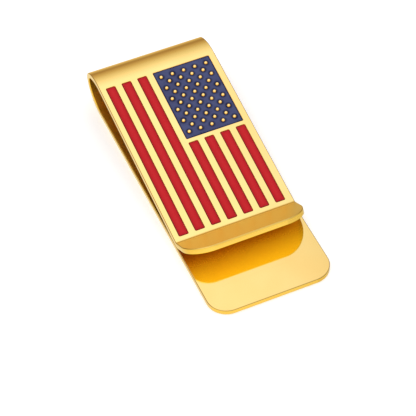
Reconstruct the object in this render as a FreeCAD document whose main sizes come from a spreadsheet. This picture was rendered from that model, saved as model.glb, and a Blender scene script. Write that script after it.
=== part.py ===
import FreeCAD, Part
import math
import os
import Sketcher

# Money clip: one bent spring strip (back leaf, U-bend, front leaf with a
# turned-up lip) and eight enamel fills seated in recesses of the front leaf.
# Frame: X is the width, Y runs along the clip with the bend at +Y, Z is up.
# The back leaf lies flat on Z = 0 and the origin is at the bottom centre of
# the bounding box.  Millimetres and degrees throughout.

V = FreeCAD.Vector
doc = FreeCAD.newDocument("money_clip")

DIMS = [
    ("clip_width", 22.0),       # strip width
    ("strip_thick", 1.0),       # strip thickness
    ("edge_round", 0.15),       # tumbled edge radius of the strip
    ("back_end", 28.1),         # free end of the back leaf, towards -Y
    ("back_corner", 3.6),       # corner radius of the back leaf
    ("bend_end", 22.65),        # where the back leaf turns into the bend
    ("bend_big", 7.5),          # outer radii of the U-bend, front to back
    ("bend_tight", 2.4),
    ("bend_low", 5.6),
    ("crease_dist", 12.0),      # crease line, measured towards -Y
    ("crease_up", 2.0),         # height of the front face at the crease
    ("panel_tilt", 9.6),        # front panel against the back leaf
    ("panel_len", 34.2),        # front panel from crease to bend
    ("crease_in", 0.7),         # inner radius of the crease
    ("lip_angle", 33.25),       # lip against the back leaf
    ("lip_len", 7.25),          # lip length from the crease line
    ("lip_corner", 4.6),        # corner radius of the lip
    ("recess_deep", 0.4),       # depth of the enamel recesses
    ("enamel_drop", 0.02),      # enamel lies this far under the gold face
    ("stripe_left", 9.975),     # left edge of the first stripe, from centre
    ("stripe_pitch", 2.975),
    ("stripe_wide", 1.795),
    ("stripe_low", 0.93),       # stripe ends, measured from the crease
    ("stripe_long", 33.65),
    ("stripe_short", 17.75),
    ("stripe_corner", 0.25),
    ("canton_left", 1.04),
    ("canton_right", 9.79),
    ("canton_low", 18.5),
    ("canton_high", 33.7),
    ("canton_corner", 0.2),
    ("dot_radius", 0.27),       # raised dots of the canton
    ("dot_rise", 0.16),
    ("dot_round", 0.12),
    ("dot_side", 1.111),        # first dot from the canton's left edge
    ("dot_head", 1.365),        # first dot from the canton's upper edge
    ("dot_pitch_x", 2.152),
    ("dot_pitch_y", 2.494),
]
sheet = doc.addObject("Spreadsheet::Sheet", "dims")
for row, (alias, value) in enumerate(DIMS, start=1):
    sheet.set("A%d" % row, alias)
    sheet.set("B%d" % row, repr(value))
    sheet.setAlias("B%d" % row, alias)
doc.recompute()
D = {alias: float(sheet.get(alias)) for alias, _ in DIMS}

HALF = D["clip_width"] / 2.0
TURN = math.radians(D["panel_tilt"] + D["lip_angle"])
CREASE_OFF = D["crease_in"] * math.tan(TURN / 2.0)
OFF_EXPR = "dims.crease_in * tan((dims.panel_tilt + dims.lip_angle) / 2 * 1 deg)"


def new_body(label):
    body = doc.addObject("PartDesign::Body", label)
    body.Label = label
    return body


def plane(body, role):
    for item in body.Origin.OriginFeatures:
        if item.Role == role:
            return item
    raise RuntimeError(role)


def new_sketch(body, name, role="XY_Plane"):
    sk = body.newObject("Sketcher::SketchObject", name)
    sk.AttachmentSupport = [(plane(body, role), "")]
    sk.MapMode = "FlatFace"
    return sk


def line(sk, a, b):
    return sk.addGeometry(Part.LineSegment(V(a[0], a[1], 0), V(b[0], b[1], 0)), False)


def arc(sk, centre, radius, start, end):
    circle = Part.Circle(V(centre[0], centre[1], 0), V(0, 0, 1), radius)
    return sk.addGeometry(Part.ArcOfCircle(circle, start, end), False)


def con(sk, *args):
    return sk.addConstraint(Sketcher.Constraint(*args))


def dim(sk, name, expr, *args):
    index = sk.addConstraint(Sketcher.Constraint(*args))
    sk.renameConstraint(index, name)
    sk.setExpression("Constraints." + name, expr)
    return index


def rounded_rect(sk, left, right, low, high, radius, ex):
    """Rounded rectangle; ex gives the expressions of its five sizes.  The
    left side is measured towards -X when its value is negative."""
    h = math.pi / 2.0
    bottom = line(sk, (left + radius, low), (right - radius, low))
    a_br = arc(sk, (right - radius, low + radius), radius, -h, 0.0)
    side_r = line(sk, (right, low + radius), (right, high - radius))
    a_tr = arc(sk, (right - radius, high - radius), radius, 0.0, h)
    top = line(sk, (right - radius, high), (left + radius, high))
    a_tl = arc(sk, (left + radius, high - radius), radius, h, 2 * h)
    side_l = line(sk, (left, high - radius), (left, low + radius))
    a_bl = arc(sk, (left + radius, low + radius), radius, 2 * h, 3 * h)
    con(sk, "Tangent", bottom, 2, a_br, 1)
    con(sk, "Tangent", a_br, 2, side_r, 1)
    con(sk, "Tangent", side_r, 2, a_tr, 1)
    con(sk, "Tangent", a_tr, 2, top, 1)
    con(sk, "Tangent", top, 2, a_tl, 1)
    con(sk, "Tangent", a_tl, 2, side_l, 1)
    con(sk, "Tangent", side_l, 2, a_bl, 1)
    con(sk, "Tangent", a_bl, 2, bottom, 1)
    con(sk, "Horizontal", bottom)
    con(sk, "Horizontal", top)
    con(sk, "Vertical", side_l)
    con(sk, "Vertical", side_r)
    for other in (a_tr, a_tl, a_bl):
        con(sk, "Equal", a_br, other)
    dim(sk, "corner", ex[4], "Radius", a_br, radius)
    if left < 0:
        dim(sk, "left", ex[0], "DistanceX", side_l, 1, -1, 1, -left)
    elif left > 0:
        dim(sk, "left", ex[0], "DistanceX", -1, 1, side_l, 1, left)
    else:
        con(sk, "PointOnObject", side_l, 1, -2)
    if right < 0:
        dim(sk, "right", ex[1], "DistanceX", side_r, 1, -1, 1, -right)
    else:
        dim(sk, "right", ex[1], "DistanceX", -1, 1, side_r, 1, right)
    dim(sk, "low", ex[2], "DistanceY", -1, 1, bottom, 1, low)
    dim(sk, "high", ex[3], "DistanceY", -1, 1, top, 1, high)


def sharp_edges(shape, skip):
    """Names of the edges where two faces meet at an angle; skip(edge) is
    true for an edge that stays as it is."""
    names = []
    for index, edge in enumerate(shape.Edges, start=1):
        if skip(edge):
            continue
        mid = edge.valueAt((edge.FirstParameter + edge.LastParameter) / 2.0)
        normals = []
        for face in shape.ancestorsOfType(edge, Part.Face):
            u, v = face.Surface.parameter(mid)
            normals.append(face.normalAt(u, v))
        if len(normals) == 2 and normals[0].getAngle(normals[1]) > 0.5:
            names.append("Edge%d" % index)
    return names


def round_edges(body, feature, skip, expr, name):
    doc.recompute()
    names = sharp_edges(feature.Shape, skip)
    fillet = body.newObject("PartDesign::Fillet", name)
    fillet.Base = (feature, names)
    fillet.setExpression("Radius", expr)
    body.Tip = fillet
    doc.recompute()
    return fillet


def less(after, before, what):
    if not after.Shape.Volume < before.Shape.Volume - 1e-6:
        raise RuntimeError(what + " removed nothing")


def more(after, before, what):
    if not after.Shape.Volume > before.Shape.Volume + 1e-6:
        raise RuntimeError(what + " added nothing")


def tilt(body, dx=None):
    """Put a body that is drawn in the front panel's own frame on the panel."""
    body.Placement = FreeCAD.Placement(
        V(0, -D["crease_dist"], D["crease_up"]),
        FreeCAD.Rotation(V(1, 0, 0), D["panel_tilt"]))
    if dx:
        body.setExpression("Placement.Base.x", dx)
    body.setExpression("Placement.Base.y", "-dims.crease_dist")
    body.setExpression("Placement.Base.z", "dims.crease_up")
    body.setExpression("Placement.Rotation.Angle", "dims.panel_tilt * 1 deg")


# --- back leaf: flat strip with two rounded corners at its free end ---------
back_leaf = new_body("back_leaf")
sk = new_sketch(back_leaf, "back_outline")
r = D["back_corner"]
end = -D["back_end"]
h = math.pi / 2.0
seam = line(sk, (HALF, D["bend_end"]), (-HALF, D["bend_end"]))
left = line(sk, (-HALF, D["bend_end"]), (-HALF, end + r))
arc_l = arc(sk, (-HALF + r, end + r), r, 2 * h, 3 * h)
free = line(sk, (-HALF + r, end), (HALF - r, end))
arc_r = arc(sk, (HALF - r, end + r), r, -h, 0.0)
right = line(sk, (HALF, end + r), (HALF, D["bend_end"]))
con(sk, "Coincident", seam, 2, left, 1)
con(sk, "Tangent", left, 2, arc_l, 1)
con(sk, "Tangent", arc_l, 2, free, 1)
con(sk, "Tangent", free, 2, arc_r, 1)
con(sk, "Tangent", arc_r, 2, right, 1)
con(sk, "Coincident", right, 2, seam, 1)
con(sk, "Horizontal", seam)
con(sk, "Horizontal", free)
con(sk, "Vertical", left)
con(sk, "Vertical", right)
con(sk, "Equal", arc_l, arc_r)
dim(sk, "corner", "dims.back_corner", "Radius", arc_l, r)
dim(sk, "half_left", "dims.clip_width / 2", "DistanceX", left, 1, -1, 1, HALF)
dim(sk, "half_right", "dims.clip_width / 2", "DistanceX", -1, 1, right, 1, HALF)
dim(sk, "seam_at", "dims.bend_end", "DistanceY", -1, 1, seam, 1, D["bend_end"])
dim(sk, "end_at", "dims.back_end", "DistanceY", free, 1, -1, 1, D["back_end"])
pad = back_leaf.newObject("PartDesign::Pad", "back_strip")
pad.Profile = sk
pad.setExpression("Length", "dims.strip_thick")
round_edges(back_leaf, pad,
            lambda e: all(abs(v.Point.y - D["bend_end"]) < 1e-4 for v in e.Vertexes)
            or (abs(e.BoundBox.ZLength - D["strip_thick"]) < 1e-4),
            "dims.edge_round", "back_edges")

# --- spring bend: three tangent arcs from the front panel to the back leaf --
spring_bend = new_body("spring_bend")
sk = new_sketch(spring_bend, "bend_profile", "YZ_Plane")
phi = math.radians(D["panel_tilt"])
thick = D["strip_thick"]
big, tight, low = D["bend_big"], D["bend_tight"], D["bend_low"]
start = (-D["crease_dist"] + D["panel_len"] * math.cos(phi),
         D["crease_up"] + D["panel_len"] * math.sin(phi))
c1 = (start[0] + big * math.sin(phi), start[1] - big * math.cos(phi))
c3 = (D["bend_end"], low)
# the middle centre is at known distances from the other two
d1, d3 = big - tight, low - tight
gap = math.hypot(c3[0] - c1[0], c3[1] - c1[1])
along = (d1 * d1 - d3 * d3 + gap * gap) / (2.0 * gap)
aside = math.sqrt(d1 * d1 - along * along)
ux, uy = (c3[0] - c1[0]) / gap, (c3[1] - c1[1]) / gap
c2 = (c1[0] + ux * along + uy * aside, c1[1] + uy * along - ux * aside)
t1 = math.atan2(c2[1] - c1[1], c2[0] - c1[0])
t2 = math.atan2(c3[1] - c2[1], c3[0] - c2[0]) - math.pi
outer, inner = [], []
for centre, radius, lo, hi in ((c1, big, t1, math.pi / 2 + phi),
                               (c2, tight, t2, t1),
                               (c3, low, -math.pi / 2, t2)):
    outer.append(arc(sk, centre, radius, lo, hi))
for centre, radius, lo, hi in ((c1, big, t1, math.pi / 2 + phi),
                               (c2, tight, t2, t1),
                               (c3, low, -math.pi / 2, t2)):
    inner.append(arc(sk, centre, radius - thick, lo, hi))
front_seam = line(sk, start, (start[0] + thick * math.sin(phi), start[1] - thick * math.cos(phi)))
back_seam = line(sk, (D["bend_end"], 0), (D["bend_end"], thick))
for chain in (outer, inner):
    con(sk, "Tangent", chain[0], 1, chain[1], 2)
    con(sk, "Tangent", chain[1], 1, chain[2], 2)
for one, other in zip(outer, inner):
    con(sk, "Coincident", one, 3, other, 3)
con(sk, "Coincident", front_seam, 1, outer[0], 2)
con(sk, "Coincident", front_seam, 2, inner[0], 2)
con(sk, "Coincident", back_seam, 1, outer[2], 1)
con(sk, "Coincident", back_seam, 2, inner[2], 1)
con(sk, "PointOnObject", outer[0], 3, front_seam)
con(sk, "PointOnObject", outer[2], 3, back_seam)
con(sk, "Vertical", back_seam)
con(sk, "PointOnObject", outer[2], 1, -1)
dim(sk, "seam_angle", "(dims.panel_tilt - 90) * 1 deg", "Angle", front_seam, phi - math.pi / 2)
dim(sk, "big", "dims.bend_big", "Radius", outer[0], big)
dim(sk, "tight", "dims.bend_tight", "Radius", outer[1], tight)
dim(sk, "low", "dims.bend_low", "Radius", outer[2], low)
dim(sk, "big_inside", "dims.bend_big - dims.strip_thick", "Radius", inner[0], big - thick)
dim(sk, "start_y", "dims.panel_len * cos(dims.panel_tilt * 1 deg) - dims.crease_dist",
    "DistanceX", -1, 1, front_seam, 1, start[0])
dim(sk, "start_z", "dims.crease_up + dims.panel_len * sin(dims.panel_tilt * 1 deg)",
    "DistanceY", -1, 1, front_seam, 1, start[1])
dim(sk, "finish_y", "dims.bend_end", "DistanceX", -1, 1, back_seam, 1, D["bend_end"])
pad = spring_bend.newObject("PartDesign::Pad", "bend_strip")
pad.Profile = sk
pad.SideType = "Symmetric"
pad.setExpression("Length", "dims.clip_width")


def on_seam(edge):
    back = all(abs(v.Point.y - D["bend_end"]) < 1e-4 and v.Point.z < thick + 1e-4
               for v in edge.Vertexes)
    s = [(v.Point.y - start[0]) * math.cos(phi) + (v.Point.z - start[1]) * math.sin(phi)
         for v in edge.Vertexes]
    front = all(abs(q) < 1e-4 for q in s)
    return back or front


round_edges(spring_bend, pad, on_seam, "dims.edge_round", "bend_edges")

# --- front leaf: panel, crease and turned-up lip, in the panel's own frame --
front_leaf = new_body("front_leaf")
sk = new_sketch(front_leaf, "leaf_profile", "YZ_Plane")
k, rin = CREASE_OFF, D["crease_in"]
lip_dir = (-math.cos(TURN), math.sin(TURN))
down = (-math.sin(TURN), -math.cos(TURN))
tan_top = (lip_dir[0] * k, lip_dir[1] * k)
lip_end = (lip_dir[0] * D["lip_len"], lip_dir[1] * D["lip_len"])
top_panel = line(sk, (D["panel_len"], 0), (k, 0))
arc_in = arc(sk, (k, rin), rin, -math.pi / 2 - TURN, -math.pi / 2)
top_lip = line(sk, tan_top, lip_end)
end_face = line(sk, lip_end, (lip_end[0] + down[0] * thick, lip_end[1] + down[1] * thick))
low_lip = line(sk, (lip_end[0] + down[0] * thick, lip_end[1] + down[1] * thick),
               (tan_top[0] + down[0] * thick, tan_top[1] + down[1] * thick))
arc_out = arc(sk, (k, rin), rin + thick, -math.pi / 2 - TURN, -math.pi / 2)
low_panel = line(sk, (k, -thick), (D["panel_len"], -thick))
seam = line(sk, (D["panel_len"], -thick), (D["panel_len"], 0))
con(sk, "Horizontal", top_panel)
con(sk, "PointOnObject", top_panel, 1, -1)
con(sk, "Tangent", top_panel, 2, arc_in, 2)
con(sk, "Tangent", arc_in, 1, top_lip, 1)
con(sk, "Coincident", top_lip, 2, end_face, 1)
con(sk, "Perpendicular", top_lip, end_face)
con(sk, "Coincident", end_face, 2, low_lip, 1)
con(sk, "Parallel", top_lip, low_lip)
con(sk, "Tangent", low_lip, 2, arc_out, 1)
con(sk, "Tangent", arc_out, 2, low_panel, 1)
con(sk, "Coincident", arc_in, 3, arc_out, 3)
con(sk, "Horizontal", low_panel)
con(sk, "Coincident", low_panel, 2, seam, 1)
con(sk, "Coincident", seam, 2, top_panel, 1)
con(sk, "Vertical", seam)
dim(sk, "panel", "dims.panel_len", "DistanceX", -1, 1, top_panel, 1, D["panel_len"])
dim(sk, "crease_at", OFF_EXPR, "DistanceX", -1, 1, arc_in, 3, k)
dim(sk, "crease_radius", "dims.crease_in", "Radius", arc_in, rin)
dim(sk, "thick", "dims.strip_thick", "DistanceY", seam, 1, seam, 2, thick)
dim(sk, "lip_turn", "(180 - dims.panel_tilt - dims.lip_angle) * 1 deg", "Angle", top_lip, math.pi - TURN)
dim(sk, "lip_length", "dims.lip_len - " + OFF_EXPR, "Distance", top_lip, 1, top_lip, 2, D["lip_len"] - k)
leaf = front_leaf.newObject("PartDesign::Pad", "leaf_strip")
leaf.Profile = sk
leaf.SideType = "Symmetric"
leaf.setExpression("Length", "dims.clip_width")
doc.recompute()

# rounded lip corners, cut square to the lip
sk = new_sketch(front_leaf, "lip_corners")
sk.AttachmentOffset = FreeCAD.Placement(
    V(0, 0, 0), FreeCAD.Rotation(V(1, 0, 0), -D["panel_tilt"] - D["lip_angle"]))
sk.setExpression("AttachmentOffset.Rotation.Angle", "-(dims.panel_tilt + dims.lip_angle) * 1 deg")
rl, ll, out = D["lip_corner"], D["lip_len"], 2.0
for side in (-1, 1):
    centre = (side * (HALF - rl), -(ll - rl))
    if side > 0:
        curve = arc(sk, centre, rl, -h, 0.0)
        near, far = (curve, 2), (curve, 1)
    else:
        curve = arc(sk, centre, rl, 2 * h, 3 * h)
        near, far = (curve, 1), (curve, 2)
    e1 = line(sk, (side * HALF, centre[1]), (side * (HALF + out), centre[1]))
    e2 = line(sk, (side * (HALF + out), centre[1]), (side * (HALF + out), -ll - out))
    e3 = line(sk, (side * (HALF + out), -ll - out), (centre[0], -ll - out))
    e4 = line(sk, (centre[0], -ll - out), (centre[0], -ll))
    con(sk, "Coincident", near[0], near[1], e1, 1)
    con(sk, "Coincident", e1, 2, e2, 1)
    con(sk, "Coincident", e2, 2, e3, 1)
    con(sk, "Coincident", e3, 2, e4, 1)
    con(sk, "Coincident", e4, 2, far[0], far[1])
    con(sk, "Horizontal", e1)
    con(sk, "Vertical", e2)
    con(sk, "Horizontal", e3)
    con(sk, "Vertical", e4)
    tag = "r" if side > 0 else "l"
    dim(sk, "radius_" + tag, "dims.lip_corner", "Radius", curve, rl)
    con(sk, "PointOnObject", curve, 3, e1)
    con(sk, "PointOnObject", curve, 3, e4)
    if side > 0:
        dim(sk, "half_r", "dims.clip_width / 2", "DistanceX", -1, 1, e1, 1, HALF)
        dim(sk, "wide_r", "dims.clip_width / 2 + 2", "DistanceX", -1, 1, e1, 2, HALF + out)
    else:
        dim(sk, "half_l", "dims.clip_width / 2", "DistanceX", e1, 1, -1, 1, HALF)
        dim(sk, "wide_l", "dims.clip_width / 2 + 2", "DistanceX", e1, 2, -1, 1, HALF + out)
    dim(sk, "end_" + tag, "dims.lip_len", "DistanceY", e4, 2, -1, 1, ll)
    dim(sk, "far_" + tag, "dims.lip_len + 2", "DistanceY", e4, 1, -1, 1, ll + out)
corners = front_leaf.newObject("PartDesign::Pocket", "lip_rounding")
corners.Profile = sk
corners.SideType = "Symmetric"
corners.Length = 6.0
front_leaf.Tip = corners
doc.recompute()
less(corners, leaf, "lip_rounding")

base = round_edges(front_leaf, corners,
                   lambda e: all(abs(v.Point.y - D["panel_len"]) < 1e-4 for v in e.Vertexes)
                   or (abs(e.Length - thick) < 1e-4 and e.BoundBox.XLength < 1e-4),
                   "dims.edge_round", "leaf_edges")

# recesses: one long and one short stripe, each repeated across the leaf
STRIPE = {
    "long": (-D["stripe_left"], "dims.stripe_left",
             -D["stripe_left"] + D["stripe_wide"], "dims.stripe_left - dims.stripe_wide",
             "dims.stripe_long", D["stripe_long"], 3),
    "short": (-D["stripe_left"] + 3 * D["stripe_pitch"],
              "dims.stripe_left - 3 * dims.stripe_pitch",
              -D["stripe_left"] + 3 * D["stripe_pitch"] + D["stripe_wide"],
              "dims.stripe_wide + 3 * dims.stripe_pitch - dims.stripe_left",
              "dims.stripe_short", D["stripe_short"], 4),
}
for kind in ("long", "short"):
    xl, exl, xr, exr, etop, top, count = STRIPE[kind]
    sk = new_sketch(front_leaf, kind + "_recess_outline")
    rounded_rect(sk, xl, xr, D["stripe_low"], top, D["stripe_corner"],
                 (exl, exr, "dims.stripe_low", etop, "dims.stripe_corner"))
    pocket = front_leaf.newObject("PartDesign::Pocket", kind + "_recess")
    pocket.Profile = sk
    pocket.setExpression("Length", "dims.recess_deep")
    front_leaf.Tip = pocket
    doc.recompute()
    less(pocket, base, kind + "_recess")
    pattern = front_leaf.newObject("PartDesign::LinearPattern", kind + "_recesses")
    pattern.Originals = [pocket]
    pattern.Direction = (sk, ["H_Axis"])
    pattern.Occurrences = count
    pattern.setExpression("Length", "dims.stripe_pitch * %d" % (count - 1))
    front_leaf.Tip = pattern
    doc.recompute()
    less(pattern, pocket, kind + "_recesses")
    base = pattern

sk = new_sketch(front_leaf, "canton_recess_outline")
rounded_rect(sk, -D["canton_left"], D["canton_right"], D["canton_low"], D["canton_high"],
             D["canton_corner"], ("dims.canton_left", "dims.canton_right", "dims.canton_low",
                                  "dims.canton_high", "dims.canton_corner"))
pocket = front_leaf.newObject("PartDesign::Pocket", "canton_recess")
pocket.Profile = sk
pocket.setExpression("Length", "dims.recess_deep")
front_leaf.Tip = pocket
doc.recompute()
less(pocket, base, "canton_recess")
base = pocket


def dot_sketch(body, name, half_step, radius_expr, radius, depth_expr=None):
    """One circle at the first dot of the even (0) or odd (1) rows."""
    sk = new_sketch(body, name)
    x = -D["canton_left"] + D["dot_side"] + half_step * D["dot_pitch_x"] / 2.0
    y = D["canton_high"] - D["dot_head"] - half_step * D["dot_pitch_y"] / 2.0
    circle = sk.addGeometry(Part.Circle(V(x, y, 0), V(0, 0, 1), radius), False)
    dim(sk, "radius", radius_expr, "Radius", circle, radius)
    dim(sk, "across", "dims.dot_side - dims.canton_left + %d * dims.dot_pitch_x / 2" % half_step,
        "DistanceX", -1, 1, circle, 3, x)
    dim(sk, "along", "dims.canton_high - dims.dot_head - %d * dims.dot_pitch_y / 2" % half_step,
        "DistanceY", -1, 1, circle, 3, y)
    if depth_expr:
        sk.AttachmentOffset = FreeCAD.Placement(V(0, 0, -D["recess_deep"]), FreeCAD.Rotation())
        sk.setExpression("AttachmentOffset.Base.z", depth_expr)
    return sk


def dot_grid(body, sk, original, name, columns, rows):
    grid = body.newObject("PartDesign::LinearPattern", name)
    grid.Originals = original if isinstance(original, list) else [original]
    grid.Direction = (sk, ["H_Axis"])
    grid.Occurrences = columns
    grid.setExpression("Length", "dims.dot_pitch_x * %d" % (columns - 1))
    grid.Direction2 = (sk, ["V_Axis"])
    grid.Reversed2 = True
    grid.Occurrences2 = rows
    grid.setExpression("Length2", "dims.dot_pitch_y * %d" % (rows - 1))
    body.Tip = grid
    doc.recompute()
    return grid


# 50 raised dots: posts that stand on the recess floor, with domed heads
for index, (columns, rows) in enumerate(((5, 6), (4, 5))):
    sk = dot_sketch(front_leaf, "dot_seed_%d" % index, index, "dims.dot_radius",
                    D["dot_radius"], "-dims.recess_deep")
    post = front_leaf.newObject("PartDesign::Pad", "dot_post_%d" % index)
    post.Profile = sk
    post.setExpression("Length", "dims.recess_deep + dims.dot_rise")
    front_leaf.Tip = post
    doc.recompute()
    more(post, base, "dot_post_%d" % index)
    grid = dot_grid(front_leaf, sk, post, "dot_grid_%d" % index, columns, rows)
    more(grid, post, "dot_grid_%d" % index)
    base = grid
heads = []
for index, edge in enumerate(base.Shape.Edges, start=1):
    box = edge.BoundBox
    if box.ZLength < 1e-4 and abs(box.ZMin - D["dot_rise"]) < 1e-4 and box.XLength < 2.2 * D["dot_radius"]:
        heads.append("Edge%d" % index)
if len(heads) != 50:
    raise RuntimeError("expected 50 dot heads, found %d" % len(heads))
domes = front_leaf.newObject("PartDesign::Fillet", "dot_heads")
domes.Base = (base, heads)
domes.setExpression("Radius", "dims.dot_round")
front_leaf.Tip = domes
doc.recompute()
less(domes, base, "dot_heads")
tilt(front_leaf)

# --- enamel stripes: each fills its recess up to just under the gold face ---
parts = [back_leaf, spring_bend, front_leaf]
for number in range(1, 8):
    stripe = new_body("red_stripe_%d" % number)
    top_alias = "stripe_long" if number <= 3 else "stripe_short"
    sk = new_sketch(stripe, "stripe_outline_%d" % number)
    rounded_rect(sk, 0.0, D["stripe_wide"], D["stripe_low"], D[top_alias], D["stripe_corner"],
                 ("", "dims.stripe_wide", "dims.stripe_low", "dims." + top_alias, "dims.stripe_corner"))
    sk.AttachmentOffset = FreeCAD.Placement(V(0, 0, -D["recess_deep"]), FreeCAD.Rotation())
    sk.setExpression("AttachmentOffset.Base.z", "-dims.recess_deep")
    fill = stripe.newObject("PartDesign::Pad", "stripe_fill_%d" % number)
    fill.Profile = sk
    fill.setExpression("Length", "dims.recess_deep - dims.enamel_drop")
    stripe.Tip = fill
    tilt(stripe, "%d * dims.stripe_pitch - dims.stripe_left" % (number - 1))
    parts.append(stripe)

# --- canton enamel: the field around the 50 dots ----------------------------
canton = new_body("canton_enamel")
sk = new_sketch(canton, "canton_outline")
rounded_rect(sk, -D["canton_left"], D["canton_right"], D["canton_low"], D["canton_high"],
             D["canton_corner"], ("dims.canton_left", "dims.canton_right", "dims.canton_low",
                                  "dims.canton_high", "dims.canton_corner"))
sk.AttachmentOffset = FreeCAD.Placement(V(0, 0, -D["recess_deep"]), FreeCAD.Rotation())
sk.setExpression("AttachmentOffset.Base.z", "-dims.recess_deep")
fill = canton.newObject("PartDesign::Pad", "canton_fill")
fill.Profile = sk
fill.setExpression("Length", "dims.recess_deep - dims.enamel_drop")
canton.Tip = fill
doc.recompute()
base = fill
for index, (columns, rows) in enumerate(((5, 6), (4, 5))):
    sk = dot_sketch(canton, "dot_hole_seed_%d" % index, index, "dims.dot_radius", D["dot_radius"])
    hole = canton.newObject("PartDesign::Pocket", "dot_hole_%d" % index)
    hole.Profile = sk
    hole.SideType = "Symmetric"
    hole.setExpression("Length", "4 * dims.recess_deep")
    canton.Tip = hole
    doc.recompute()
    less(hole, base, "dot_hole_%d" % index)
    grid = dot_grid(canton, sk, hole, "dot_holes_%d" % index, columns, rows)
    less(grid, hole, "dot_holes_%d" % index)
    base = grid
tilt(canton)
parts.append(canton)

doc.recompute()
for obj in doc.Objects:
    if "Invalid" in obj.State or "Error" in obj.State:
        raise RuntimeError("%s failed: %s" % (obj.Name, obj.State))
for body in parts:
    shape = body.Shape
    if shape.isNull() or not shape.isValid() or len(shape.Solids) < 1:
        raise RuntimeError(body.Label + " has no valid solid")

os.makedirs("parts", exist_ok=True)
for body in parts:
    body.Shape.exportStep("parts/%s.step" % body.Label)
    box = body.Shape.BoundBox
    print("%-16s solids %d volume %8.3f  x %.3f..%.3f  y %.3f..%.3f  z %.3f..%.3f" % (
        body.Label, len(body.Shape.Solids), body.Shape.Volume, box.XMin, box.XMax,
        box.YMin, box.YMax, box.ZMin, box.ZMax))
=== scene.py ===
import math

import bpy
import numpy as np
from mathutils import Matrix, Vector
from mathutils.geometry import delaunay_2d_cdt


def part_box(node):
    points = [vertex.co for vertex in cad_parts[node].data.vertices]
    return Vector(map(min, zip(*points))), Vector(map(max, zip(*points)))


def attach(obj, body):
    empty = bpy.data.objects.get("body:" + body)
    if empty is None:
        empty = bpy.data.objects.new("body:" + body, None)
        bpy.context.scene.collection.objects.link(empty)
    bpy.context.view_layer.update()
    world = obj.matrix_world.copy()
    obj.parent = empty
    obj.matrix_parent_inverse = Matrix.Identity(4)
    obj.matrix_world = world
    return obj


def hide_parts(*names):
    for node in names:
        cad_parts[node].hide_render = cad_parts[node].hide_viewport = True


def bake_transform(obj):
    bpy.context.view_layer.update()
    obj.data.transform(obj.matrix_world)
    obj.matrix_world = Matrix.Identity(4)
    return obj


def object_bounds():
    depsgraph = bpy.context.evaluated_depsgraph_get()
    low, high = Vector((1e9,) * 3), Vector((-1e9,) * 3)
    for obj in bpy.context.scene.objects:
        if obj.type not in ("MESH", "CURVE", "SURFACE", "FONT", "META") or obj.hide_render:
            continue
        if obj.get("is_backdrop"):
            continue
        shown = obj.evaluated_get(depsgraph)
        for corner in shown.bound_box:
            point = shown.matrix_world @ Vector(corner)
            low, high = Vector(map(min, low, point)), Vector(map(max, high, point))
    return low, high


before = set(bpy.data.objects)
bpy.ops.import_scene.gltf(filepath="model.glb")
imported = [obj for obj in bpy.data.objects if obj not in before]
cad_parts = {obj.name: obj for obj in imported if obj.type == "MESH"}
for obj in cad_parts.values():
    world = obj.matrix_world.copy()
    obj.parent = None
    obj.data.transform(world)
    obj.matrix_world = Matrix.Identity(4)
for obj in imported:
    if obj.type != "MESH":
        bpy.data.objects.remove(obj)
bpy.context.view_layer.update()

# ---------------------------------------------------------------- sizes, mm
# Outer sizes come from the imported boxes. The rest are the design's own sizes,
# repeated here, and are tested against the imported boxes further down.
bl_lo, bl_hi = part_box("back_leaf")
fl_lo, fl_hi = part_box("front_leaf")
HALF = bl_hi.x * 1000
THICK = bl_hi.z * 1000
BACK_END = bl_lo.y * 1000
BEND_END = bl_hi.y * 1000
BACK_CORNER = 3.6
EDGE = 0.15
TILT = math.radians(9.6)
LIP = math.radians(33.25)
TURN = TILT + LIP
CREASE = (-12.0, 2.0)
PANEL = 34.2
R_IN = 0.7
LIP_LEN = 7.25
LIP_CORNER = 4.6
K = R_IN * math.tan(TURN / 2)
R_BIG, R_TIGHT, R_LOW = 7.5, 2.4, 5.6
RECESS, DROP = 0.4, 0.02
STRIPE = dict(left=-9.975, pitch=2.975, wide=1.795, low=0.93, long=33.65, short=17.75, corner=0.25)
CANTON = dict(left=-1.04, right=9.79, low=18.5, high=33.7, corner=0.2)
DOT_R, DOT_RISE, DOT_ROUND = 0.27, 0.16, 0.12
DOT_SIDE, DOT_HEAD, DOT_PX, DOT_PY = 1.111, 1.365, 2.152, 2.494


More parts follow.
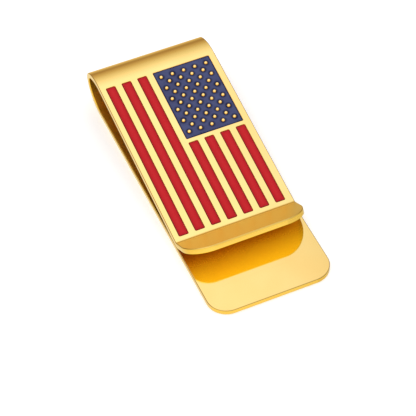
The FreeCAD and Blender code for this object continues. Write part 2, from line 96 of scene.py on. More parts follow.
# ------------------------------------------------------------ mesh builder
class Build:
    """Vertices with a normal for each face corner, so that mirror-smooth faces shade exactly."""

    def __init__(self):
        self.v, self.f, self.n = [], [], []
        self.rim, self.satin, self.dull, self.slot_red_shade = [], [], [], []

    def vert(self, p, rim=1.0, satin=0.0, dull=0.0, slot_red_shade=0.0):
        self.v.append(tuple(float(c) for c in p))
        self.rim.append(float(rim))
        self.satin.append(float(satin))
        self.dull.append(float(dull))
        self.slot_red_shade.append(float(slot_red_shade))
        return len(self.v) - 1

    def face(self, ids, normals):
        p = np.array([self.v[i] for i in ids])
        newell = np.zeros(3)
        for i in range(len(p)):
            newell += np.cross(p[i], p[(i + 1) % len(p)])
        want = np.sum([np.array(n) for n in normals], axis=0)
        if np.dot(newell, want) < 0:
            ids, normals = list(ids)[::-1], list(normals)[::-1]
        self.f.append(list(ids))
        self.n.append([tuple(float(c) for c in n) for n in normals])

    def done(self, name, material):
        me = bpy.data.meshes.new(name)
        me.from_pydata([(x / 1000, y / 1000, z / 1000) for x, y, z in self.v], [], self.f)
        me.polygons.foreach_set("use_smooth", [True] * len(me.polygons))
        for key, values in (("rim", self.rim), ("satin", self.satin), ("dull", self.dull), ("slot_red_shade", self.slot_red_shade)):
            a = me.attributes.new(key, "FLOAT", "POINT")
            a.data.foreach_set("value", np.array(values, np.float32))
        me.update()
        me.normals_split_custom_set([n for face in self.n for n in face])
        edges = {}
        for face in self.f:
            for i in range(len(face)):
                e = tuple(sorted((face[i], face[(i + 1) % len(face)])))
                edges[e] = edges.get(e, 0) + 1
        loose = sum(1 for c in edges.values() if c != 2)
        if loose:
            raise RuntimeError(name + " is not closed: %d edges" % loose)
        ob = bpy.data.objects.new(name, me)
        bpy.context.scene.collection.objects.link(ob)
        me.materials.append(material)
        return ob


def unit(v):
    v = np.array(v, float)
    return v / max(np.linalg.norm(v), 1e-12)


# ---------------------------------------------------------------- profiles
# A profile maps a length s along the strip's outer face to the point (y, z),
# the direction of s, and the direction into the metal.
def panel_to_row(p):
    c, s = math.cos(TILT), math.sin(TILT)
    return (CREASE[0] + p[0] * c - p[1] * s, CREASE[1] + p[0] * s + p[1] * c)


def panel_dir(p):
    c, s = math.cos(TILT), math.sin(TILT)
    return (p[0] * c - p[1] * s, p[0] * s + p[1] * c)


LIP_FLAT = LIP_LEN - K
ARC_LEN = R_IN * TURN
S_PANEL = LIP_FLAT + ARC_LEN      # where the panel's flat begins
S_SEAM = S_PANEL + PANEL - K      # where the front leaf ends


def front_profile(s):
    if s <= LIP_FLAT:
        d = LIP_LEN - s
        p = (-math.cos(TURN) * d, math.sin(TURN) * d)
        tan, down = (math.cos(TURN), -math.sin(TURN)), (-math.sin(TURN), -math.cos(TURN))
    elif s <= S_PANEL:
        a = -math.pi / 2 - TURN + (s - LIP_FLAT) / R_IN
        down = (math.cos(a), math.sin(a))
        p = (K + R_IN * down[0], R_IN + R_IN * down[1])
        tan = (-math.sin(a), math.cos(a))
    else:
        p = (K + s - S_PANEL, 0.0)
        tan, down = (1.0, 0.0), (0.0, -1.0)
    return panel_to_row(p), panel_dir(tan), panel_dir(down)


def panel_s(y):
    """s on the front leaf for a distance y from the crease line."""
    return S_PANEL + y - K


START = panel_to_row((PANEL, 0.0))
C1 = (START[0] + R_BIG * math.sin(TILT), START[1] - R_BIG * math.cos(TILT))
C3 = (BEND_END, R_LOW)
_d1, _d3 = R_BIG - R_TIGHT, R_LOW - R_TIGHT
_gap = math.hypot(C3[0] - C1[0], C3[1] - C1[1])
_al = (_d1 ** 2 - _d3 ** 2 + _gap ** 2) / (2 * _gap)
_as = math.sqrt(_d1 ** 2 - _al ** 2)
_ux, _uy = (C3[0] - C1[0]) / _gap, (C3[1] - C1[1]) / _gap
C2 = (C1[0] + _ux * _al + _uy * _as, C1[1] + _uy * _al - _ux * _as)
T1 = math.atan2(C2[1] - C1[1], C2[0] - C1[0])
T2 = math.atan2(C3[1] - C2[1], C3[0] - C2[0]) - math.pi
ARCS = [(C1, R_BIG, math.pi / 2 + TILT, T1), (C2, R_TIGHT, T1, T2), (C3, R_LOW, T2, -math.pi / 2)]


def bend_samples():
    out = []
    s = 0.0
    for (c, r, a0, a1), n in zip(ARCS, (40, 48, 56)):
        for i in range(n + 1):
            if i == 0 and out:
                continue
            a = a0 + (a1 - a0) * i / n
            u = (math.cos(a), math.sin(a))
            out.append((s + r * abs(a - a0), (c[0] + r * u[0], c[1] + r * u[1]), (u[1], -u[0]), (-u[0], -u[1])))
        s += r * abs(a1 - a0)
    return out


def place(prof, x, t):
    (y, z), _, down = prof
    return np.array((x, y + down[0] * t, z + down[1] * t))


def direction(prof, nx, ns, nt):
    """World direction of a vector in the strip's own frame: across, along and into the metal."""
    _, tan, down = prof
    return unit((nx, tan[0] * ns + down[0] * nt, tan[1] * ns + down[1] * nt))


def ring_rows(r_out, r_in, steps=8):
    """Inset, depth and (outward, into-metal) normal from the outer face round the edge to the inner face."""
    rows = []
    for i in range(steps + 1):
        a = math.pi / 2 * i / steps
        rows.append((r_out * (1 - math.sin(a)), r_out * (1 - math.cos(a)), math.sin(a), -math.cos(a)))
    rows.append((0.0, r_out + 0.16, 1.0, 0.0))
    for i in range(steps + 1):
        a = math.pi / 2 * i / steps
        rows.append((r_in * (1 - math.cos(a)), THICK - r_in * (1 - math.sin(a)), math.cos(a), math.sin(a)))
    return rows


# ---------------------------------------------------------------- materials
def nodes_of(name):
    m = bpy.data.materials.new(name)
    m.use_nodes = True
    nt = m.node_tree
    return m, nt, nt.nodes["Principled BSDF"] if "Principled BSDF" in nt.nodes else None


def add(nt, kind, **values):
    n = nt.nodes.new(kind)
    for k, v in values.items():
        setattr(n, k, v)
    return n


def ramp(nt, stops):
    r = add(nt, "ShaderNodeValToRGB")
    e = r.color_ramp.elements
    while len(e) < len(stops):
        e.new(0.5)
    for el, (pos, col) in zip(e, stops):
        el.position, el.color = pos, col
    return r


def noise(nt, coord, scale, detail=3.0, rough=0.5, stretch=None):
    n = add(nt, "ShaderNodeTexNoise")
    n.inputs["Scale"].default_value = scale
    n.inputs["Detail"].default_value = detail
    n.inputs["Roughness"].default_value = rough
    if stretch:
        mp = add(nt, "ShaderNodeMapping")
        mp.inputs["Scale"].default_value = stretch
        nt.links.new(coord, mp.inputs["Vector"])
        coord = mp.outputs["Vector"]
    nt.links.new(coord, n.inputs["Vector"])
    return n


def gold_material(name):
    m, nt, p = nodes_of(name)
    obj = add(nt, "ShaderNodeTexCoord").outputs["Object"]
    # plating: slow drift of tone over several millimetres
    drift = noise(nt, obj, 140.0, 2.0)
    tone = ramp(nt, [(0.30, (1.0, 0.700, 0.235, 1)), (0.70, (1.0, 0.735, 0.265, 1))])
    nt.links.new(drift.outputs["Fac"], tone.inputs["Fac"])
    # a thin darker line along the upper edges: worn plating, and painted shade in place of the dark reflection in the
    # rounding
    rim = add(nt, "ShaderNodeAttribute", attribute_name="rim", attribute_type="GEOMETRY")
    line = add(nt, "ShaderNodeMix", data_type="RGBA")
    line.inputs["A"].default_value = (0.36, 0.22, 0.07, 1)
    nt.links.new(rim.outputs["Fac"], line.inputs["Factor"])
    # painted shade and painted reflection on the inside of the fold: darker and browner towards the crease
    dull = add(nt, "ShaderNodeAttribute", attribute_name="dull", attribute_type="GEOMETRY")
    brown = ramp(nt, [(0.0, (1.0, 1.0, 1.0, 1)), (0.045, (1.0, 1.0, 0.80, 1)), (0.12, (0.98, 1.20, 0.36, 1)), (1.0, (0.40, 0.28, 0.10, 1))])
    nt.links.new(dull.outputs["Fac"], brown.inputs["Fac"])
    deep = add(nt, "ShaderNodeMix", data_type="RGBA", blend_type="MULTIPLY")
    deep.inputs["Factor"].default_value = 1.0
    nt.links.new(tone.outputs["Color"], deep.inputs["A"])
    nt.links.new(brown.outputs["Color"], deep.inputs["B"])
    # painted shade: deep in the slot it is redder still
    slot_red_shade = add(nt, "ShaderNodeAttribute", attribute_name="slot_red_shade", attribute_type="GEOMETRY")
    slot_shade_tint = ramp(nt, [(0.0, (1.0, 1.0, 1.0, 1)), (1.0, (1.0, 0.72, 0.66, 1))])
    nt.links.new(slot_red_shade.outputs["Fac"], slot_shade_tint.inputs["Fac"])
    redder = add(nt, "ShaderNodeMix", data_type="RGBA", blend_type="MULTIPLY")
    redder.inputs["Factor"].default_value = 1.0
    nt.links.new(deep.outputs["Result"], redder.inputs["A"])
    nt.links.new(slot_shade_tint.outputs["Color"], redder.inputs["B"])
    nt.links.new(redder.outputs["Result"], line.inputs["B"])
    nt.links.new(line.outputs["Result"], p.inputs["Base Color"])
    # buffing: fine lines along the strip, and small cloudy patches
    lines = noise(nt, obj, 900.0, 4.0, 0.6, (9.0, 0.35, 9.0))
    cloud = noise(nt, obj, 420.0, 3.0)
    mix = add(nt, "ShaderNodeMix", data_type="FLOAT")
    mix.inputs["Factor"].default_value = 0.45
    nt.links.new(lines.outputs["Fac"], mix.inputs["A"])
    nt.links.new(cloud.outputs["Fac"], mix.inputs["B"])
    rr = add(nt, "ShaderNodeMapRange")
    rr.inputs["From Min"].default_value, rr.inputs["From Max"].default_value = 0.35, 0.65
    rr.inputs["To Min"].default_value, rr.inputs["To Max"].default_value = 0.035, 0.085
    nt.links.new(mix.outputs["Result"], rr.inputs["Value"])
    # the inside and the lip are satin
    satin = add(nt, "ShaderNodeAttribute", attribute_name="satin", attribute_type="GEOMETRY")
    more = add(nt, "ShaderNodeMath", operation="MULTIPLY_ADD")
    nt.links.new(satin.outputs["Fac"], more.inputs[0])
    more.inputs[1].default_value = 0.36
    nt.links.new(rr.outputs["Result"], more.inputs[2])
    nt.links.new(more.outputs["Value"], p.inputs["Roughness"])
    bump = add(nt, "ShaderNodeBump")
    bump.inputs["Strength"].default_value = 0.03
    bump.inputs["Distance"].default_value = 0.00002
    nt.links.new(lines.outputs["Fac"], bump.inputs["Height"])
    nt.links.new(bump.outputs["Normal"], p.inputs["Normal"])
    p.inputs["Metallic"].default_value = 1.0
    return m


def enamel_material(name, edge, deep, body, light, stops, clouds, middle):
    m, nt, p = nodes_of(name)
    obj = add(nt, "ShaderNodeTexCoord").outputs["Object"]
    rim = add(nt, "ShaderNodeAttribute", attribute_name="rim", attribute_type="GEOMETRY")
    # painted shade: the colour darkens towards the rim of the fill and round each dot
    shade = ramp(nt, [(0.0, edge), (stops[0], edge), (stops[1], deep), (1.0, body)])
    nt.links.new(rim.outputs["Fac"], shade.inputs["Fac"])
    # pigment: soft clouds in the body colour, with a finer grain over them
    cloud = noise(nt, obj, 520.0, 4.0, 0.6)
    cr = ramp(nt, [(0.35, (0, 0, 0, 1)), (0.70, (1, 1, 1, 1))])
    nt.links.new(cloud.outputs["Fac"], cr.inputs["Fac"])
    soft = add(nt, "ShaderNodeMath", operation="MULTIPLY")
    nt.links.new(cr.outputs["Color"], soft.inputs[0])
    nt.links.new(rim.outputs["Fac"], soft.inputs[1])
    faint = add(nt, "ShaderNodeMath", operation="MULTIPLY")
    nt.links.new(soft.outputs["Value"], faint.inputs[0])
    faint.inputs[1].default_value = clouds
    # lighter towards the middle of the fill
    to_middle = add(nt, "ShaderNodeAttribute", attribute_name="satin", attribute_type="GEOMETRY")
    both = add(nt, "ShaderNodeMath", operation="MULTIPLY_ADD", use_clamp=True)
    nt.links.new(to_middle.outputs["Fac"], both.inputs[0])
    both.inputs[1].default_value = middle
    nt.links.new(faint.outputs["Value"], both.inputs[2])
    mix = add(nt, "ShaderNodeMix", data_type="RGBA")
    nt.links.new(both.outputs["Value"], mix.inputs["Factor"])
    nt.links.new(shade.outputs["Color"], mix.inputs["A"])
    mix.inputs["B"].default_value = light
    nt.links.new(mix.outputs["Result"], p.inputs["Base Color"])
    grain = noise(nt, obj, 2600.0, 2.0)
    rr = add(nt, "ShaderNodeMapRange")
    rr.inputs["To Min"].default_value, rr.inputs["To Max"].default_value = 0.22, 0.38
    nt.links.new(grain.outputs["Fac"], rr.inputs["Value"])
    nt.links.new(rr.outputs["Result"], p.inputs["Roughness"])
    bump = add(nt, "ShaderNodeBump")
    bump.inputs["Strength"].default_value = 0.12
    bump.inputs["Distance"].default_value = 0.00003
    nt.links.new(cloud.outputs["Fac"], bump.inputs["Height"])
    nt.links.new(bump.outputs["Normal"], p.inputs["Normal"])
    p.inputs["Specular IOR Level"].default_value = 0.10
    return m


GOLD = gold_material("gold_plate")
RED = enamel_material("red_enamel", (0.055, 0.010, 0.008, 1), (0.33, 0.004, 0.008, 1), (0.416, 0.005, 0.010, 1), (0.530, 0.016, 0.021, 1), (0.30, 0.58), 0.20, 0.80)
BLUE = enamel_material("blue_enamel", (0.004, 0.006, 0.030, 1), (0.009, 0.013, 0.052, 1), (0.050, 0.056, 0.136, 1), (0.067, 0.080, 0.180, 1), (0.06, 0.46), 1.0, 0.0)


# ------------------------------------------------------------------ outlines
def leaf_chain(s_end, s_list, corner, n_corner=28):
    """Right-hand half of a leaf's outline, from the seam to the middle of its free end: (x, s, nx, ns)."""
    out = [(HALF, s, 1.0, 0.0) for s in s_list]
    for i in range(n_corner + 1):
        a = math.pi / 2 * i / n_corner
        out.append((HALF - corner + corner * math.cos(a), s_end + corner - corner * math.sin(a), math.cos(a), -math.sin(a)))
    return out


def smooth(a, b, v):
    """0 at a, 1 at b, eased between."""
    q = min(1.0, max(0.0, (v - a) / (b - a)))
    return q * q * (3 - 2 * q)


def edge_wear_and_shade(out, into, upper=True, much=1.0):
    """1 on a flat, less half-way round an upper rounded edge: the factor for the line of wear and painted shade."""
    return 1.0 - (much * abs(2 * out * into) if upper else 0.0)


def leaf(build, profile, chain, edge_of, look_of, flat_from=None):
    """A leaf of the strip: rings round the outline, ladders on both faces, and a cap at the seam."""
    n = len(chain)
    rings = {}
    for side in (1, -1):
        for i, (x, s, nx, ns) in enumerate(chain):
            rows = ring_rows(*edge_of(x, s, nx, ns))
            ids, nor = [], []
            for inset, depth, out, into in rows:
                px, ps = (x - nx * inset) * side, s - ns * inset
                pr = profile(ps)
                ids.append(build.vert(place(pr, px, depth), *look_of(ps, depth, out, into, -ns)))
                nor.append(direction(pr, nx * out * side, ns * out, into))
            rings[side, i] = (ids, nor, rows)
    m = len(rings[1, 0][0])
    for side in (1, -1):
        for i in range(n - 1):
            a, b = rings[side, i], rings[side, i + 1]
            for j in range(m - 1):
                build.face([a[0][j], b[0][j], b[0][j + 1], a[0][j + 1]], [a[1][j], b[1][j], b[1][j + 1], a[1][j + 1]])
    a, b = rings[1, n - 1], rings[-1, n - 1]
    for j in range(m - 1):
        build.face([a[0][j], b[0][j], b[0][j + 1], a[0][j + 1]], [a[1][j], b[1][j], b[1][j + 1], a[1][j + 1]])
    for i in range(n - 1):
        for j in (0, m - 1):
            if j == 0 and flat_from is not None and i < flat_from:
                continue
            q = [(1, i), (1, i + 1), (-1, i + 1), (-1, i)]
            build.face([rings[k][0][j] for k in q], [rings[k][1][j] for k in q])
    pr = profile(chain[0][1])
    cap = direction(pr, 0, 1, 0) if chain[0][1] > chain[1][1] else direction(pr, 0, -1, 0)
    loop = rings[1, 0][0] + rings[-1, 0][0][::-1]
    build.face(loop, [cap] * len(loop))
    return rings


IN_SATIN = 0.68                   # how far the inside goes from mirror to satin
IN_FOLD_SHADE = 0.26                    # and how far painted shade darkens it

# ----------------------------------------------------------------- back leaf
def back_profile(s):
    return ((s, 0.0), (1.0, 0.0), (0.0, 1.0))


b = Build()
chain = leaf_chain(BACK_END, list(np.linspace(BEND_END, BACK_END + BACK_CORNER, 24))[:-1], BACK_CORNER)


def back_look(s, depth, out, into, to_end):
    """Mirror where it shows, satin inside the slot, where painted shade darkens and reddens it."""
    inner = smooth(-9.0, 3.0, s) * smooth(0.0, 0.7, into)
    return edge_wear_and_shade(out, into, depth > THICK / 2, 0.8), inner * IN_SATIN, inner * IN_FOLD_SHADE, inner


leaf(b, back_profile, chain, lambda x, s, nx, ns: (EDGE, EDGE), back_look)
back = b.done("back_leaf_strip", GOLD)
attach(back, "back"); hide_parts("back_leaf")

# ---------------------------------------------------------------- spring bend
# The bend's outer edges carry the line of wear and painted shade; its inside is satin, with painted shade darkening and
# reddening it.
def bend_look(depth, out, into):
    inner = smooth(0.0, 0.7, into)
    return edge_wear_and_shade(out, into, depth <= THICK / 2, 0.7), inner * IN_SATIN, inner * IN_FOLD_SHADE, inner


b = Build()
rows = ring_rows(EDGE, EDGE)
samples = bend_samples()
cols = []
for s, pt, tan, down in samples:
    pr = (pt, tan, down)
    ids, nor = [], []
    for inset, depth, out, into in rows:
        ids.append(b.vert(place(pr, HALF - inset, depth), *bend_look(depth, out, into))); nor.append(direction(pr, out, 0, into))
    for inset, depth, out, into in rows[::-1]:
        ids.append(b.vert(place(pr, -HALF + inset, depth), *bend_look(depth, out, into))); nor.append(direction(pr, -out, 0, into))
    cols.append((ids, nor))
for a, c in zip(cols, cols[1:]):
    k = len(a[0])
    for j in range(k):
        q = (j + 1) % k
        b.face([a[0][j], c[0][j], c[0][q], a[0][q]], [a[1][j], c[1][j], c[1][q], a[1][q]])
for col, sm, sign in ((cols[0], samples[0], -1), (cols[-1], samples[-1], 1)):
    cap = direction((sm[1], sm[2], sm[3]), 0, sign, 0)
    b.face(col[0], [cap] * len(col[0]))
bend = b.done("spring_bend_strip", GOLD)
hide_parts("spring_bend")
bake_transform(bend)

# ---------------------------------------------------------------- front leaf


def rounded(left, right, low, high, r, grow=0.0, n=7):
    """Rounded rectangle, counter-clockwise, as (x, y, nx, ny), grown outwards."""
    out = []
    for cx, cy, a0 in ((right - r, low + r, -90), (right - r, high - r, 0), (left + r, high - r, 90), (left + r, low + r, 180)):
        for i in range(n + 1):
            a = math.radians(a0 + 90.0 * i / n)
            u = (math.cos(a), math.sin(a))
            out.append((cx + (r + grow) * u[0], cy + (r + grow) * u[1], u[0], u[1]))
    return out


def stripe_box(i):
    left = STRIPE["left"] + STRIPE["pitch"] * i
    return left, left + STRIPE["wide"], STRIPE["low"], STRIPE["long"] if i < 3 else STRIPE["short"]


def dot_centres():
    out = []
    x0, y0 = CANTON["left"] + DOT_SIDE, CANTON["high"] - DOT_HEAD
    for r in range(6):
        out += [(x0 + DOT_PX * c, y0 - DOT_PY * r) for c in range(5)]
    for r in range(5):
        out += [(x0 + DOT_PX * (c + 0.5), y0 - DOT_PY * (r + 0.5)) for c in range(4)]
    return out


def inside(p, poly):
    hit = False
    for i in range(len(poly)):
        a, c = poly[i], poly[(i + 1) % len(poly)]
        if (a[1] > p[1]) != (c[1] > p[1]) and p[0] < (c[0] - a[0]) * (p[1] - a[1]) / (c[1] - a[1]) + a[0]:
            hit = not hit
    return hit


def fill(build, outer, holes, free, normal_of):
    """Triangles over a flat region with holes. Every point is (x, y, vertex id)."""
    pts = list(outer)
    loops = [list(range(len(outer)))]
    for h in holes:
        loops.append(list(range(len(pts), len(pts) + len(h))))
        pts += list(h)
    pts += list(free)
    edges = [(lp[i], lp[(i + 1) % len(lp)]) for lp in loops for i in range(len(lp))]
    co, _, faces, orig, _, _ = delaunay_2d_cdt([Vector((p[0], p[1])) for p in pts], edges, [], 0, 1e-7)
    polys = [[(pts[i][0], pts[i][1]) for i in lp] for lp in loops]
    spans = [(min(q[0] for q in p), max(q[0] for q in p), min(q[1] for q in p), max(q[1] for q in p)) for p in polys]
    for f in faces:
        c = (sum(co[i][0] for i in f) / len(f), sum(co[i][1] for i in f) / len(f))
        if not inside(c, polys[0]) or any(w[0] < c[0] < w[1] and w[2] < c[1] < w[3] and inside(c, q) for q, w in zip(polys[1:], spans[1:])):
            continue
        ids = [pts[orig[i][0]][2] for i in f]
        build.face(ids, [normal_of(i) for i in ids])


b = Build()
flat_at = panel_s(0.6)
straight = [S_SEAM] + list(np.linspace(S_SEAM, flat_at, 30))[1:]
straight += list(np.linspace(flat_at, S_PANEL, 3))[1:]
straight += list(np.linspace(S_PANEL, LIP_FLAT, 15))[1:]
straight += list(np.linspace(LIP_FLAT, LIP_CORNER, 5))[1:-1]
chain = leaf_chain(0.0, straight, LIP_CORNER)
flat_index = 29


def front_look(s, depth, out, into, to_end):
    """The inside is satin and carries painted shade, least at the lip's end and darkest at the crease, and the lip's
    face is satin up to the crease with a trace of painted shade.
    """
    if depth > THICK / 2:
        to_crease = smooth(-1.0, 6.0, s)
        past = smooth(S_PANEL, S_PANEL + 14.0, s)
        face = smooth(0.0, 0.7, into)      # the walls keep the polish of the outside
        return 1.0, face * IN_SATIN * (0.40 + 0.60 * to_crease), face * (0.12 + 0.88 * to_crease - (1.0 - IN_FOLD_SHADE) * past), face * past
    lip = smooth(S_PANEL, LIP_FLAT - 0.2, s)
    end = lip * smooth(0.3, 0.9, to_end)
    # the lip's end has a wider line of painted shade, in place of a dark reflection: round the edge and a little way
    # down the end face
    wide = 1.0 - 0.40 * smooth(0.0, 0.03, depth) * (1.0 - smooth(EDGE - 0.02, EDGE + 0.05, depth))
    return (1.0 - end) * edge_wear_and_shade(out, into, True, 0.8) + end * wide, 0.7 * lip, 0.045 * lip, 0.0


rings = leaf(b, front_profile, chain, lambda x, s, nx, ns: (EDGE, EDGE), front_look, flat_from=flat_index)
UP = direction(front_profile(S_SEAM), 0, 0, -1)


def on_panel(x, y, h):
    """A point above the panel's face: x across, y from the crease, h up."""
    return place(front_profile(panel_s(y)), x, -h)


def panel_normal(nx, ny, nh):
    return direction(front_profile(S_SEAM), nx, ny, -nh)


def from_s(s):
    return s - S_PANEL + K


SOFT = 0.035
outer = []
for i in range(flat_index + 1):
    inset = rings[1, i][2][0][0]
    outer.append((chain[i][0] - inset, from_s(chain[i][1]), rings[1, i][0][0]))
for i in range(flat_index, -1, -1):
    inset = rings[-1, i][2][0][0]
    outer.append((-chain[i][0] + inset, from_s(chain[i][1]), rings[-1, i][0][0]))
holes, pockets = [], []
for box in [stripe_box(i) + (STRIPE["corner"],) for i in range(7)] + [(CANTON["left"], CANTON["right"], CANTON["low"], CANTON["high"], CANTON["corner"])]:
    top = rounded(*box, grow=SOFT)
    wall = rounded(*box)
    rows = []
    # the rounded top of each recess wall carries the darker line of wear and painted shade
    for j in range(4):
        a = math.pi / 2 * j / 3
        grow, h = SOFT * (1 - math.sin(a)), -SOFT * (1 - math.cos(a))
        rows.append(([b.vert(on_panel(w[0] + w[2] * grow, w[1] + w[3] * grow, h), edge_wear_and_shade(math.sin(a), math.cos(a))) for w in wall],
                     [panel_normal(-w[2] * math.sin(a), -w[3] * math.sin(a), math.cos(a)) for w in wall]))
    rows.append(([b.vert(on_panel(w[0], w[1], -RECESS)) for w in wall], [panel_normal(-w[2], -w[3], 0) for w in wall]))
    for p, q in zip(rows, rows[1:]):
        for i in range(len(wall)):
            k = (i + 1) % len(wall)
            b.face([p[0][i], p[0][k], q[0][k], q[0][i]], [p[1][i], p[1][k], q[1][k], q[1][i]])
    holes.append([(t[0], t[1], v) for t, v in zip(top, rows[0][0])])
    pockets.append([(w[0], w[1], v) for w, v in zip(wall, rows[-1][0])])
fill(b, outer, holes, [], lambda i: UP)
for pocket in pockets[:7]:
    b.face([p[2] for p in pocket], [UP] * len(pocket))
dots = []
N_DOT = 28
for cx, cy in dot_centres():
    rows = [(DOT_R, -RECESS, 1.0, 0.0)]
    for j in range(7):
        a = math.pi / 2 * j / 6
        rows.append((DOT_R - DOT_ROUND * (1 - math.cos(a)), DOT_RISE - DOT_ROUND * (1 - math.sin(a)), math.cos(a), math.sin(a)))
    ids = []
    for r, h, nr, nh in rows:
        # painted shade: the gold darkens towards the foot of each dot
        foot_shade = 0.75 + 0.25 * smooth(0.0, 0.20, nh)
        ids.append(([b.vert(on_panel(cx + r * math.cos(2 * math.pi * i / N_DOT), cy + r * math.sin(2 * math.pi * i / N_DOT), h), foot_shade) for i in range(N_DOT)],
                    [panel_normal(nr * math.cos(2 * math.pi * i / N_DOT), nr * math.sin(2 * math.pi * i / N_DOT), nh) for i in range(N_DOT)]))
    for p, q in zip(ids, ids[1:]):
        for i in range(N_DOT):
            k = (i + 1) % N_DOT
            b.face([p[0][i], p[0][k], q[0][k], q[0][i]], [p[1][i], p[1][k], q[1][k], q[1][i]])
    tip = b.vert(on_panel(cx, cy, DOT_RISE))
    for i in range(N_DOT):
        k = (i + 1) % N_DOT
        b.face([ids[-1][0][i], ids[-1][0][k], tip], [ids[-1][1][i], ids[-1][1][k], UP])
    dots.append([(cx + DOT_R * math.cos(2 * math.pi * i / N_DOT), cy + DOT_R * math.sin(2 * math.pi * i / N_DOT), ids[0][0][i]) for i in range(N_DOT)])
fill(b, pockets[7], dots, [], lambda i: UP)
front = b.done("front_leaf_strip", GOLD)
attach(front, "front"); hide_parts("front_leaf")


# -------------------------------------------------------------------- enamel
def enamel(name, box, centres, material, width, halo, node, middle=None):
    """A fill with a flat floor, a crowned face that falls to its rim, and wells round the dots."""
    gap = 0.004
    left, right, low, high, r = box
    r_core = max(r - width, 0.02)

    def to_edge(x, y):
        hx, hy = (right - left) / 2 - r, (high - low) / 2 - r
        qx, qy = abs(x - (left + right) / 2) - hx, abs(y - (low + high) / 2) - hy
        return r - (math.hypot(max(qx, 0), max(qy, 0)) + min(max(qx, qy), 0))

    def to_dot(x, y):
        return min((math.hypot(x - c[0], y - c[1]) - DOT_R for c in centres), default=9.0)

    # 0 at the fill's edge and at each dot, 1 a width or halo in: shapes the crowned face and sets the painted shade
    def rim(x, y):
        return min(1.0, max(0.0, min(to_edge(x, y) / width, to_dot(x, y) / halo)))

    def height(x, y):
        q = rim(x, y)
        return -DROP - 0.055 * (1 - q) ** 2

    def slope(x, y):
        e = 0.01
        return panel_normal(-(height(x + e, y) - height(x - e, y)) / (2 * e), -(height(x, y + e) - height(x, y - e)) / (2 * e), 1.0)

    e = Build()
    where = {}

    def top(x, y):
        i = e.vert(on_panel(x, y, height(x, y)), rim(x, y), smooth(0.0, middle, to_edge(x, y)) if middle else 0.0)
        where[i] = (x, y)
        return i

    out = rounded(left, right, low, high, r, grow=-gap)
    # points along the straight sides too, so that the rim is even
    dense = []
    for i, p in enumerate(out):
        q = out[(i + 1) % len(out)]
        d = math.hypot(q[0] - p[0], q[1] - p[1])
        k = max(1, int(d / 0.45))
        for j in range(k):
            dense.append((p[0] + (q[0] - p[0]) * j / k, p[1] + (q[1] - p[1]) * j / k))
    crown = [(x, y, top(x, y)) for x, y in dense]
    floor = [(x, y, e.vert(on_panel(x, y, -RECESS + 0.002), 0.0)) for x, y in dense]

    def out_normal(x, y):
        d = 0.01
        return panel_normal(-(to_edge(x + d, y) - to_edge(x - d, y)), -(to_edge(x, y + d) - to_edge(x, y - d)), 0)

    for i in range(len(dense)):
        k = (i + 1) % len(dense)
        na, nb = out_normal(*dense[i]), out_normal(*dense[k])
        e.face([crown[i][2], crown[k][2], floor[k][2], floor[i][2]], [na, nb, nb, na])
    top_holes, low_holes = [], []
    for cx, cy in centres:
        u = [(math.cos(2 * math.pi * i / N_DOT), math.sin(2 * math.pi * i / N_DOT)) for i in range(N_DOT)]
        rr = DOT_R + gap
        th = [(cx + rr * a, cy + rr * c, top(cx + rr * a, cy + rr * c)) for a, c in u]
        lh = [(cx + rr * a, cy + rr * c, e.vert(on_panel(cx + rr * a, cy + rr * c, -RECESS + 0.002), 0.0)) for a, c in u]
        for i in range(N_DOT):
            k = (i + 1) % N_DOT
            na, nb = panel_normal(-u[i][0], -u[i][1], 0), panel_normal(-u[k][0], -u[k][1], 0)
            e.face([th[i][2], th[k][2], lh[k][2], lh[i][2]], [na, nb, nb, na])
        top_holes.append(th); low_holes.append(lh)
    free = []
    for f in (0.25, 0.5, 0.75, 1.0) + ((0.45 / width, 0.65 / width, middle / width) if middle else ()):
        ring = rounded(left, right, low, high, r, grow=0.0)
        w = width * f
        inner = rounded(left + w, right - w, low + w, high - w, max(r - w, 0.03), n=4)
        for i, p in enumerate(inner):
            q = inner[(i + 1) % len(inner)]
            d = math.hypot(q[0] - p[0], q[1] - p[1])
            k = max(1, int(d / 0.45))
            for j in range(k):
                free.append((p[0] + (q[0] - p[0]) * j / k, p[1] + (q[1] - p[1]) * j / k))
        for cx, cy in centres:
            for i in range(N_DOT):
                a = 2 * math.pi * (i + 0.5 * (int(f * 4) % 2)) / N_DOT
                free.append((cx + (DOT_R + halo * f) * math.cos(a), cy + (DOT_R + halo * f) * math.sin(a)))
    free = [p for p in free if to_edge(*p) > 0.03 and to_dot(*p) > 0.03]
    inner_points = [(x, y, top(x, y)) for x, y in free]
    normals = {i: slope(*q) for i, q in where.items()}
    fill(e, crown, top_holes, inner_points, lambda i: normals[i])
    down = panel_normal(0, 0, -1)
    fill(e, floor, low_holes, [], lambda i: down)
    used = sorted({i for f in e.f for i in f})
    back_to = {i: k for k, i in enumerate(used)}
    e.v = [e.v[i] for i in used]; e.rim = [e.rim[i] for i in used]; e.satin = [e.satin[i] for i in used]; e.dull = [e.dull[i] for i in used]; e.slot_red_shade = [e.slot_red_shade[i] for i in used]
    e.f = [[back_to[i] for i in f] for f in e.f]
    ob = e.done(name, material)
    # the polished lip shows the gold of the panel and no enamel
    ob.visible_glossy = False
    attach(ob, "front"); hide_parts(node)
    return ob


for i in range(7):
    enamel("red_fill_%d" % (i + 1), stripe_box(i) + (STRIPE["corner"],), [], RED, 0.26, 1.0, "red_stripe_%d" % (i + 1), middle=0.84)
enamel("canton_fill", (CANTON["left"], CANTON["right"], CANTON["low"], CANTON["high"], CANTON["corner"]), dot_centres(), BLUE, 0.34, 0.53, "canton_enamel")

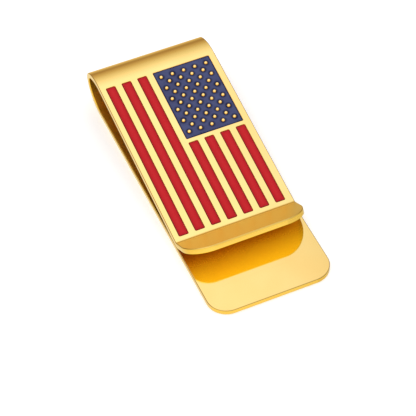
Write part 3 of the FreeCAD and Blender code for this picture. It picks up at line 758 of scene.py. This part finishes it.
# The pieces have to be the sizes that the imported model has.
for ob, node in ((back, "back_leaf"), (bend, "spring_bend"), (front, "front_leaf")):
    co = np.array([v.co for v in ob.data.vertices])
    lo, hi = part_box(node)
    off = max(abs(co.min(0) - np.array(lo)).max(), abs(co.max(0) - np.array(hi)).max())
    if off > 0.00006:
        raise RuntimeError("%s differs from %s by %.4f mm" % (ob.name, node, off * 1000))

# --------------------------------------------------------------------- stage
floor_mesh = bpy.data.meshes.new("studio_floor")
R = 3.0
floor_mesh.from_pydata([(-R, -R, -0.00002), (R, -R, -0.00002), (R, R, -0.00002), (-R, R, -0.00002)], [], [(0, 1, 2, 3)])
studio_floor = bpy.data.objects.new("studio_floor", floor_mesh)
bpy.context.scene.collection.objects.link(studio_floor)
fm, fnt, fp = nodes_of("pale_floor")
fp.inputs["Base Color"].default_value = (0.90, 0.90, 0.90, 1)
fp.inputs["Roughness"].default_value = 0.9
fp.inputs["Specular IOR Level"].default_value = 0.1
# the floor is a light table: its glow keeps the shadow faint
fp.inputs["Emission Color"].default_value = (1.0, 1.0, 1.0, 1)
fp.inputs["Emission Strength"].default_value = 0.24
floor_mesh.materials.append(fm)
studio_floor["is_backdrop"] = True
# the metal mirrors the studio's own lower half in place of the floor
studio_floor.visible_glossy = False

world = bpy.data.worlds.new("studio")
bpy.context.scene.world = world
world.use_nodes = True
wt = world.node_tree
for n in list(wt.nodes):
    wt.nodes.remove(n)
wo = wt.nodes.new("ShaderNodeOutputWorld")
bg = wt.nodes.new("ShaderNodeBackground")
wt.links.new(bg.outputs["Background"], wo.inputs["Surface"])
tc = wt.nodes.new("ShaderNodeTexCoord")
sx = wt.nodes.new("ShaderNodeSeparateXYZ")
wt.links.new(tc.outputs["Generated"], sx.inputs["Vector"])
# Seen in the metal: a warm dark backdrop behind the clip that pales towards
# the ceiling, a pale warm wall in front, and a warm table below. The stops are
# z of the direction: -1 straight down, 0 the horizon, 1 straight up.
up = wt.nodes.new("ShaderNodeMapRange")
up.inputs["From Min"].default_value, up.inputs["From Max"].default_value = -1.0, 1.0
wt.links.new(sx.outputs["Z"], up.inputs["Value"])


def studio_ramp(stops):
    r = ramp(wt, [((z + 1) / 2, col + (1,)) for z, col in stops])
    wt.links.new(up.outputs["Result"], r.inputs["Fac"])
    return r


wr = studio_ramp([(-0.60, (0.90, 0.84, 0.66)), (-0.25, (0.78, 0.60, 0.28)), (-0.02, (0.44, 0.32, 0.16)), (0.10, (0.42, 0.28, 0.13)),
                  (0.37, (0.65, 0.53, 0.33)), (0.63, (0.91, 0.88, 0.78)), (0.90, (1.27, 1.25, 1.40))])
fr = studio_ramp([(-0.30, (1.02, 0.88, 0.42)), (0.25, (1.10, 0.96, 0.50)), (0.80, (1.20, 1.20, 1.20))])
side = wt.nodes.new("ShaderNodeMapRange")
side.interpolation_type = "SMOOTHSTEP"
side.inputs["From Min"].default_value, side.inputs["From Max"].default_value = -0.15, 0.50
wt.links.new(sx.outputs["Y"], side.inputs["Value"])
wm = wt.nodes.new("ShaderNodeMix"); wm.data_type = "RGBA"
wt.links.new(side.outputs["Result"], wm.inputs["Factor"])
wt.links.new(fr.outputs["Color"], wm.inputs["A"])
wt.links.new(wr.outputs["Color"], wm.inputs["B"])
# the overhead light falls off towards +X
fall = wt.nodes.new("ShaderNodeMapRange")
fall.interpolation_type = "SMOOTHSTEP"
fall.inputs["From Min"].default_value, fall.inputs["From Max"].default_value = 0.245, 0.34
fall.inputs["To Min"].default_value, fall.inputs["To Max"].default_value = 1.0, 0.78
wt.links.new(sx.outputs["X"], fall.inputs["Value"])
dim = wt.nodes.new("ShaderNodeVectorMath"); dim.operation = "SCALE"
wt.links.new(wm.outputs["Result"], dim.inputs[0])
wt.links.new(fall.outputs["Result"], dim.inputs["Scale"])
# the floor, the enamel and the view past the floor get plain white light
path = wt.nodes.new("ShaderNodeLightPath")
pick = wt.nodes.new("ShaderNodeMix"); pick.data_type = "RGBA"
wt.links.new(path.outputs["Is Glossy Ray"], pick.inputs["Factor"])
pick.inputs["A"].default_value = (1.06, 1.06, 1.06, 1)
wt.links.new(dim.outputs["Vector"], pick.inputs["B"])
wt.links.new(pick.outputs["Result"], bg.inputs["Color"])
bg.inputs["Strength"].default_value = 1.0


def softbox(name, at, aim, size, power, colour=(1, 1, 1)):
    li = bpy.data.lights.new(name, "AREA")
    li.shape = "RECTANGLE"
    li.size, li.size_y = size
    li.energy, li.color = power, colour
    ob = bpy.data.objects.new(name, li)
    bpy.context.scene.collection.objects.link(ob)
    ob.location = at
    ob.rotation_euler = (Vector(aim) - Vector(at)).to_track_quat("-Z", "Y").to_euler()
    return ob


softbox("key_softbox", (-0.30, -0.10, 0.60), (0, 0, 0), (0.5, 0.5), 0.35)

# -------------------------------------------------------------------- camera
cam_data = bpy.data.cameras.new("camera")
cam = bpy.data.objects.new("camera", cam_data)
bpy.context.scene.collection.objects.link(cam)
cam_data.sensor_width = 36.0
cam_data.lens = 36.0 * 1800.0 / 416.0
cam_data.clip_start, cam_data.clip_end = 0.01, 20.0
RX = Vector((0.9141741, -0.4047893, -0.0207686))
RY = Vector((-0.3186818, -0.6861578, -0.6539339))
RZ = Vector((0.2504549, 0.6044280, -0.7562666))
m = Matrix.Identity(4)
for i in range(3):
    m[i][0], m[i][1], m[i][2] = RX[i], -RY[i], -RZ[i]
m.translation = Vector((-0.079263, -0.191232, 0.232284))
cam.matrix_world = m
bpy.context.scene.camera = cam

bpy.context.scene.view_settings.view_transform = "Standard"

lo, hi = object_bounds()
